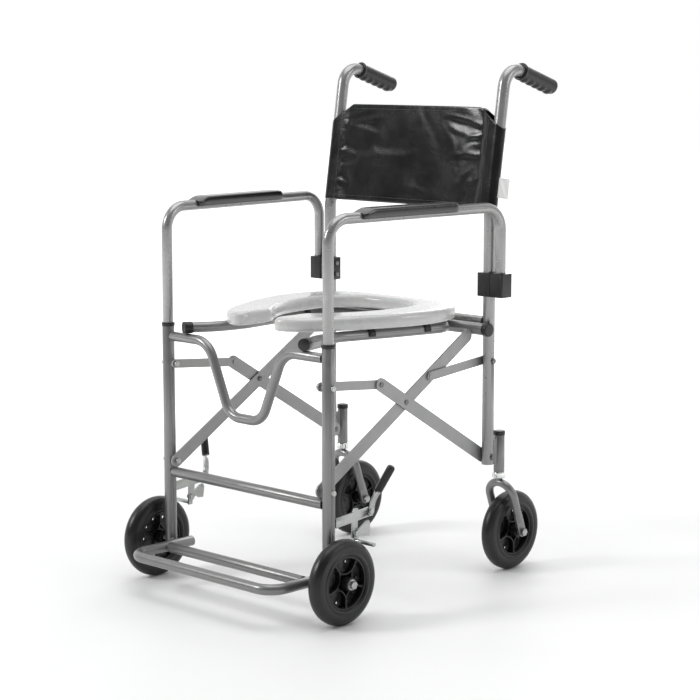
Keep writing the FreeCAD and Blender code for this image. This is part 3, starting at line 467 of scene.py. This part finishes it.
tyre_prof = []
half = [(47.5, 11.6), (47.9, 12.6), (49.4, 13.8), (50.6, 14.7), (52.0, 15.0), (53.2, 14.6), (53.9, 13.9), (54.8, 13.7),
        (57.0, 14.1), (60.0, 14.3), (63.0, 14.2), (65.6, 13.5), (66.6, 13.2), (67.3, 12.5), (68.6, 11.9), (70.6, 10.6),
        (72.4, 8.8), (73.8, 6.4), (74.6, 3.6), (74.93, 1.2)]
tyre_prof = half + [(r, -x) for (r, x) in reversed(half)]
wheels = {"front_l": (P(241, -4, 75), 1, "front_wheel_l"), "front_r": (P(-241, -4, 75), -1, "front_wheel_r"),
          "rear_l": (P(204, 490, 75), 1, "rear_wheel_l"), "rear_r": (P(-204, 490, 75), -1, "rear_wheel_r")}
for t, (c, sgn, body) in wheels.items():
    o = revolve("tyre_%s_form" % t, tyre_prof, c, sgn, 128, "tyre_rubber")
    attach(o, body)
    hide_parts("tyre_" + t)

# ------------------------------------------------------------ toilet seat
seat = copy_node("toilet_seat", "toilet_seat_form")
w_ = seat.modifiers.new("weld", "WELD")
w_.merge_threshold = 0.00001
r_ = seat.modifiers.new("remesh", "REMESH")
r_.mode = "VOXEL"
r_.voxel_size = 0.0028
r_.use_smooth_shade = True
apply_mods(seat)
s_ = seat.modifiers.new("smooth", "SMOOTH")
s_.factor = 0.5
s_.iterations = 16
sub = seat.modifiers.new("sub", "SUBSURF")
sub.levels = sub.render_levels = 1
apply_mods(seat)
seat.data.materials.clear()
seat.data.materials.append(M["seat_plastic"])
for p in seat.data.polygons:
    p.use_smooth = True
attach(seat, "toilet_seat_body")
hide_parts("toilet_seat")

# ------------------------------------------------------------ armrest pads
ang = math.atan2(232.5 - 205.6, 420.0)


def pad_piece(t, sgn):
    """Moulded arm pad: rounded section, waisted sides, slanted front end."""
    L = 226.0
    a0 = P(205.6 * sgn, 0, 691.0)
    dy = Vector((math.sin(ang) * sgn, math.cos(ang), 0))
    dx = Vector((math.cos(ang), -math.sin(ang) * sgn, 0))
    stations = [0.0, 1.2, 3.5, 7.0, 12.0, 20.0, 32.0, 60.0, 100.0, 140.0, 180.0, 200.0, 212.0, 219.0, 223.0, 225.2, 226.0]
    rings = []
    for s in stations:
        # end rounding
        e0 = min(1.0, s / 9.0)
        e1 = min(1.0, (L - s) / 8.0)
        k0 = math.sqrt(max(0.0, 1 - (1 - e0) ** 2))
        k1 = math.sqrt(max(0.0, 1 - (1 - e1) ** 2))
        k = min(k0, k1)
        w = 19.0 * (0.80 + 0.20 * k) - 1.1 * math.sin(math.pi * min(1, max(0, s / L))) ** 2
        slope_f = max(0.0, 1 - s / 22.0)
        tp = 16.0 - 8.6 * slope_f ** 1.3 - (1 - k1) * 5.5
        bt = -2.0
        r_in = 9.66
        top_pts = []
        n = 22
        for i in range(n + 1):
            th = math.pi * i / n
            cx, sx = math.cos(th), math.sin(th)
            ex = 0.24
            x = w * (abs(cx) ** ex) * (1 if cx >= 0 else -1)
            z = 1.5 + (tp - 1.5) * (abs(sx) ** 0.40)
            top_pts.append((x, z))
        pts = [(r_in, bt), (w - 2.2, bt), (w - 0.5, -0.6)] + top_pts + [(-w + 0.5, -0.6), (-w + 2.2, bt), (-r_in, bt)]
        for i in range(9):
            th = math.pi - math.pi * i / 8.0
            pts.append((r_in * math.cos(th), r_in * math.sin(th) if 0 < i < 8 else 0.0))
        rings.append((s, pts))
    vs, fs = [], []
    for s, pts in rings:
        for (x, z) in pts:
            p = a0 + dy * ((70.0 + s) / 1000.0) + dx * (x / 1000.0) + Vector((0, 0, z / 1000.0))
            vs.append(p)
    n = len(rings[0][1])
    for k in range(len(rings) - 1):
        for i in range(n):
            j = (i + 1) % n
            fs.append((k * n + i, k * n + j, (k + 1) * n + j, (k + 1) * n + i))
    fs.append(tuple(reversed(range(n))))
    fs.append(tuple((len(rings) - 1) * n + i for i in range(n)))
    o = obj_from("armrest_pad_%s_form" % t, vs, fs, "pad_plastic")
    bm = bmesh.new()
    bm.from_mesh(o.data)
    bmesh.ops.recalc_face_normals(bm, faces=bm.faces)
    bm.to_mesh(o.data)
    bm.free()
    bv = o.modifiers.new("edge", "BEVEL")
    bv.width = 0.0009
    bv.segments = 3
    bv.limit_method = "ANGLE"
    bv.angle_limit = math.radians(38)
    apply_mods(o)
    for p in o.data.polygons:
        p.use_smooth = True
    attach(o, "armrest_" + t)
    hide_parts("armrest_pad_" + t)
    return o


for t, sgn in (("l", 1), ("r", -1)):
    pad_piece(t, sgn)

# --------------------------------------------------------- backrest sleeve
slope = 0.1545
s0, bend_z, PY, PX = 683.5, 672.0, 422.5, 204.0
uz = 1.0 / math.sqrt(1 + slope * slope)
uy = slope * uz
hgt = (868.0 - s0) / uz
base = P(0, PY + slope * (s0 - bend_z), s0)
ux_ = Vector((1, 0, 0))
uu = Vector((0, uy, uz))          # up along the posts
ut = Vector((0, uz, -uy))         # towards the rear


def section(n_flat=64, n_arc=12):
    """Closed section of the sleeve: (x, t, flat share) in mm, front side first."""
    R = 11.75
    pts = []
    tpos = R
    # front sheet (t negative is towards the sitter)
    for i in range(n_flat):
        x = -PX + 2 * PX * i / n_flat
        pts.append((x, -1))
    for i in range(n_arc):
        th = -math.pi / 2 + math.pi * i / n_arc
        pts.append((PX + R * math.cos(th), R * math.sin(th), "a"))
    for i in range(n_flat):
        x = PX - 2 * PX * i / n_flat
        pts.append((x, 1))
    for i in range(n_arc):
        th = math.pi / 2 + math.pi * i / n_arc
        pts.append((-PX + R * math.cos(th), R * math.sin(th), "a"))
    out = []
    for p in pts:
        if len(p) == 3:
            out.append((p[0], p[1]))
        else:
            # both sheets lie on the posts and hang a little closer between them
            e = 1 - abs(p[0]) / PX
            dip = 3.2 * min(1.0, e / 0.16) ** 1.5 if e < 0.16 else 3.2
            out.append((p[0], p[1] * (R - dip)))
    return out


sec = section(100, 14)
NV = 46
vs, fs = [], []
nsec = len(sec)


def top_of(x):
    """Height of the sleeve's upper edge at x, with the diagonal corner cuts."""
    ax = abs(x)
    x0, x1 = PX - 42.0, PX + 12.0
    if ax <= x0:
        return hgt - 0.4
    return hgt - 0.4 - 37.0 * (ax - x0) / (x1 - x0)


for j in range(NV + 1):
    for (x, t_) in sec:
        v_ = j / NV
        h_ = 0.6 + (top_of(x) - 0.6) * v_
        vs.append(base + ux_ * (x / 1000.0) + ut * (t_ / 1000.0) + uu * (h_ / 1000.0))
for j in range(NV):
    for i in range(nsec):
        k = (i + 1) % nsec
        fs.append((j * nsec + i, j * nsec + k, (j + 1) * nsec + k, (j + 1) * nsec + i))
sleeve = obj_from("backrest_sleeve", vs, fs, "vinyl")

# pin weights: held on the posts and along the sewn line beside them
vg = sleeve.vertex_groups.new(name="pin")
for idx, v in enumerate(sleeve.data.vertices):
    i = idx % nsec
    x = abs(sec[i][0])
    w = 1.0 if x > PX - 15.0 else max(0.0, 1.0 - (PX - 15.0 - x) / 10.0)
    if w > 0:
        vg.add([idx], w, "REPLACE")
rest_co = np.array([v.co for v in sleeve.data.vertices])

# fixed wrinkles: pulls that fan out of the upper corners and slack folds low down
tri = np.array([(v - base).x * 1000.0 for v in (Vector(c) for c in rest_co)])
hh = np.array([(Vector(c) - base).dot(uu) * 1000.0 for c in rest_co])
tt_ = np.array([(Vector(c) - base).dot(ut) * 1000.0 for c in rest_co])
side = np.where(tt_ < 0, -1.0, 1.0)
inner = np.clip((PX - 14.0 - np.abs(tri)) / 22.0, 0, 1)
inner = inner * inner * (3 - 2 * inner)
disp = np.zeros(len(rest_co))


def ridge(x0, h0, x1, h1, width, amp, bias=0.0, only=None):
    """Soft ridge between two points of the panel, fading at its ends."""
    global disp
    dx_, dh = x1 - x0, h1 - h0
    L_ = math.hypot(dx_, dh)
    ex, eh = dx_ / L_, dh / L_
    s = ((tri - x0) * ex + (hh - h0) * eh) / L_
    c = (-(tri - x0) * eh + (hh - h0) * ex)
    c = c + bias * L_ * np.sin(np.clip(s, 0, 1) * math.pi)
    env = np.clip(np.minimum(s * 4.0, (1 - s) * 2.2), 0, 1)
    env = env * env * (3 - 2 * env)
    f = np.exp(-(c / width) ** 2) - 0.45 * np.exp(-((c - 1.8 * width) / (1.2 * width)) ** 2)
    if only == "front":
        f = f * (side < 0)
    if only == "back":
        f = f * (side > 0)
    disp += 0.5 * amp * env * f


for only, flip in (("front", 1), ("back", -1)):
    # (x and height in mm; x is negative on the sitter's right)
    ridge(-190 * flip, 150, -60 * flip, 166, 5.0, 2.3, 0.03, only)
    ridge(-192 * flip, 146, -70 * flip, 128, 5.5, 2.4, -0.02, only)
    ridge(-186 * flip, 158, -110 * flip, 176, 4.0, 1.7, 0.0, only)
    ridge(190 * flip, 148, 60 * flip, 172, 5.0, 2.1, 0.02, only)
    ridge(192 * flip, 142, 120 * flip, 120, 4.5, 1.9, 0.03, only)
    ridge(186 * flip, 128, 80 * flip, 150, 4.5, 1.6, -0.03, only)
    ridge(-195 * flip, 100, -60 * flip, 88, 6.5, 2.4, 0.05, only)
    ridge(-192 * flip, 82, -95 * flip, 70, 5.5, 2.0, -0.04, only)
    ridge(-190 * flip, 62, -120 * flip, 74, 4.5, 1.8, 0.0, only)
    ridge(-120 * flip, 98, 20 * flip, 92, 7.0, 1.6, 0.03, only)
    ridge(-188 * flip, 40, -140 * flip, 26, 4.5, 1.6, 0.0, only)
    ridge(195 * flip, 96, 90 * flip, 92, 5.0, 1.6, 0.04, only)
    ridge(190 * flip, 60, 130 * flip, 44, 5.0, 1.5, -0.03, only)
    ridge(60 * flip, 20, -30 * flip, 34, 6.0, 1.2, 0.03, only)
co = rest_co.copy()
nrm = np.array([ut.x, ut.y, ut.z])
co += (disp * inner * side / 1000.0)[:, None] * nrm
sleeve.data.vertices.foreach_set("co", co.ravel())
sleeve.data.update()
start_co = co.copy()

cl = sleeve.modifiers.new("cloth", "CLOTH")
st = cl.settings
st.quality = 6
st.mass = 0.25
st.tension_stiffness = 28
st.compression_stiffness = 28
st.shear_stiffness = 10
st.bending_stiffness = 0.25
st.vertex_group_mass = "pin"
st.pin_stiffness = 1.0
st.shrink_min = -0.002
st.effector_weights.gravity = 0.0
st.use_pressure = True
st.uniform_pressure_force = 0.12
cl.collision_settings.use_collision = False
cl.point_cache.frame_start = 1
cl.point_cache.frame_end = 30
sc = bpy.context.scene
sc.frame_start, sc.frame_end = 1, 30
for f_ in range(1, 27):
    sc.frame_set(f_)
dg = bpy.context.evaluated_depsgraph_get()
ev = sleeve.evaluated_get(dg)
sim = np.array([v.co for v in ev.data.vertices])
sleeve.modifiers.clear()
sc.frame_set(1)
mv = sim - start_co
# the sheets keep off each other and inside 9 mm of where they hung
along = mv @ nrm
cap = 1.9 / 1000.0
along = np.clip(along, -cap, cap)
inplane = mv - (mv @ nrm)[:, None] * nrm
ln = np.linalg.norm(inplane, axis=1)
inplane *= np.minimum(1.0, 0.004 / np.maximum(ln, 1e-9))[:, None]
fin = start_co + inplane + along[:, None] * nrm
tfin = ((fin - np.array(base)) @ nrm) * 1000.0
lim = np.where(side < 0, np.clip(tfin, -16.0, -1.6), np.clip(tfin, 1.6, 16.0))
keep = (np.abs(tri) < PX - 14.0)
fin += np.where(keep, (lim - tfin) / 1000.0, 0.0)[:, None] * nrm
sleeve.data.vertices.foreach_set("co", fin.ravel())
sleeve.data.update()
print("cloth moved", float(np.abs(along).max() * 1000), "mm")

sol = sleeve.modifiers.new("skin", "SOLIDIFY")
sol.thickness = 0.0010
sol.offset = 0.0
sb = sleeve.modifiers.new("sub", "SUBSURF")
sb.levels = sb.render_levels = 1
apply_mods(sleeve)
for p in sleeve.data.polygons:
    p.use_smooth = True
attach(sleeve, "rear_frame")
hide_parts("backrest_cover")


# stitches, hems and the label
def surface_t(x, h, sd):
    """Depth of the finished sheet at a place of the panel, front (-1) or back (+1)."""
    o_ = base + ux_ * (x / 1000.0) + uu * (h / 1000.0) + ut * (sd * 40.0 / 1000.0)
    ok, loc, nr, _ = sleeve.ray_cast(o_, ut * (-sd), distance=0.08)
    if ok:
        return loc, nr
    return None, None


def stitch_run(name, pts, sd, every=3.6, length=2.3, r=0.33):
    """Row of short threads lying on the sheet along the given panel points."""
    vs_, fs_ = [], []
    pos = []
    for (a, b2) in zip(pts[:-1], pts[1:]):
        L_ = math.hypot(b2[0] - a[0], b2[1] - a[1])
        n_ = int(L_ / every)
        for k in range(n_):
            t0 = (k * every) / L_
            t1 = (k * every + length) / L_
            pos.append(((a[0] + (b2[0] - a[0]) * t0, a[1] + (b2[1] - a[1]) * t0),
                        (a[0] + (b2[0] - a[0]) * t1, a[1] + (b2[1] - a[1]) * t1)))
    for (p, q) in pos:
        A, na = surface_t(p[0], p[1], sd)
        B, nb = surface_t(q[0], q[1], sd)
        if A is None or B is None:
            continue
        d_ = (B - A)
        if d_.length < 1e-5 or d_.length > 0.006:
            continue
        d_.normalize()
        s_2 = d_.cross(na).normalized()
        up_ = s_2.cross(d_)
        i0 = len(vs_)
        for (c_, sc_) in ((A - d_ * 0.0002, 0.35), (A + (B - A) * 0.2, 1.0), (A + (B - A) * 0.8, 1.0), (B + d_ * 0.0002, 0.35)):
            lift = 0.00018 if sc_ > 0.5 else -0.0001
            for k in range(6):
                th = 2 * math.pi * k / 6
                vs_.append(c_ + na * lift + (s_2 * math.cos(th) + up_ * math.sin(th)) * (r / 1000.0 * sc_))
        for r__ in range(3):
            for k in range(6):
                k2 = (k + 1) % 6
                fs_.append((i0 + r__ * 6 + k, i0 + r__ * 6 + k2, i0 + (r__ + 1) * 6 + k2, i0 + (r__ + 1) * 6 + k))
        fs_.append(tuple(i0 + k for k in reversed(range(6))))
        fs_.append(tuple(i0 + 18 + k for k in range(6)))
    if not vs_:
        return None
    o = obj_from(name, vs_, fs_, "thread")
    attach(o, "rear_frame")
    return o


for sd, nm in ((-1, "front"), (1, "back")):
    for sgn, t in ((1, "l"), (-1, "r")):
        x_ = (PX - 17.5) * sgn
        stitch_run("stitch_%s_%s" % (nm, t), [(x_, 3.0), (x_, top_of(x_) - 3.0)], sd)
    stitch_run("stitch_%s_top" % nm, [(-(PX - 46), hgt - 9.0), (PX - 46, hgt - 9.0)], sd)
    stitch_run("stitch_%s_low" % nm, [(-(PX - 20), 9.0), (PX - 20, 9.0)], sd)

# label: thin cloth sewn into the side seam, lying back along the post
tag_z0, tag_z1 = 706.0, 742.0


def tag_piece():
    vs_, fs_ = [], []
    nx, nz = 8, 10
    for j in range(nz + 1):
        z = tag_z0 + (tag_z1 - tag_z0) * j / nz
        yb = PY + slope * (z - bend_z)
        for i in range(nx + 1):
            s = i / nx
            x = PX + 12.05 + 0.2 * math.sin(s * 4.0 + j * 0.3)
            y = yb + 0.5 + 30.0 * s
            vs_.append(P(x, y, z - 4.0 * s))
    for j in range(nz):
        for i in range(nx):
            a = j * (nx + 1) + i
            fs_.append((a, a + 1, a + nx + 2, a + nx + 1))
    o = obj_from("plain_label", vs_, fs_, "label_cloth")
    so = o.modifiers.new("skin", "SOLIDIFY")
    so.thickness = 0.0005
    so.offset = 0
    apply_mods(o)
    for p in o.data.polygons:
        p.use_smooth = True
    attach(o, "rear_frame")
    return o


tag = tag_piece()
